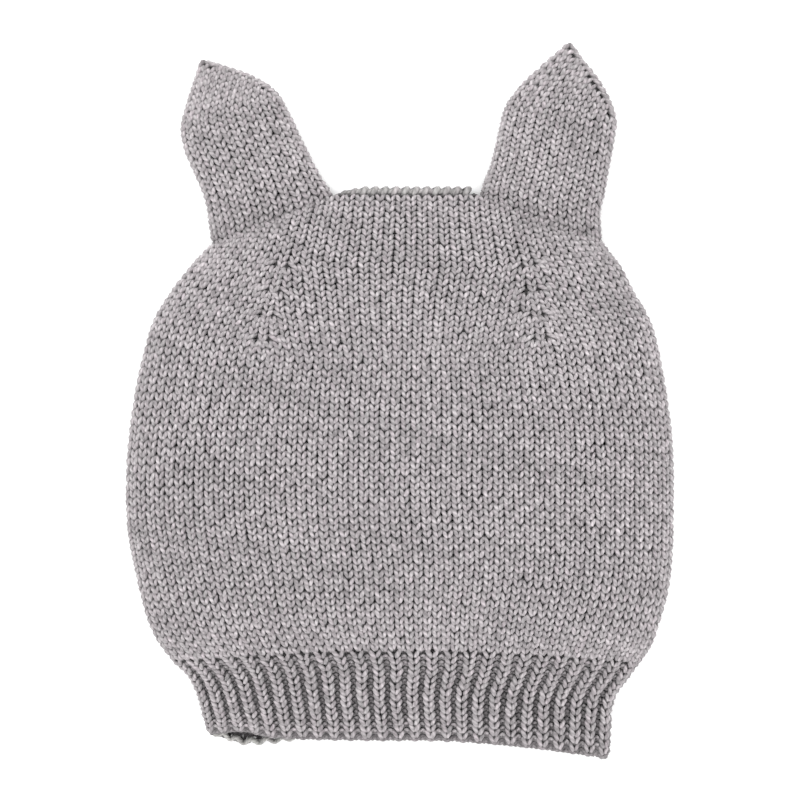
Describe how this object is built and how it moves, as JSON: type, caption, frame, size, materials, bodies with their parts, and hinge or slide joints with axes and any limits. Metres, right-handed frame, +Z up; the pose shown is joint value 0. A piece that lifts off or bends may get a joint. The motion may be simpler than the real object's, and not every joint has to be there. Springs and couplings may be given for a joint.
{
  "type": "baby hat with ears",
  "caption": "Knitted baby hat laid flat: ribbed brim, stocking-stitch crown shaped by darts, a short top seam and a pointed hollow ear at each side.",
  "frame": {"origin": "middle of the hat's outline, on the surface it lies on", "axes": "+Y from the mouth towards the ears, +Z up through the hat's thickness, +X across it with the hat lying on its back and seen from above"},
  "size_m": [0.1998, 0.26, 0.0222],
  "materials": {
    "knit": "soft light grey heathered wool knit, matt"
  },
  "bodies": {
    "root": {"rib_brim": "knit", "crown": "knit", "crown_seam": "knit", "ear_left": "knit", "ear_right": "knit"}
  },
  "joints": []
}
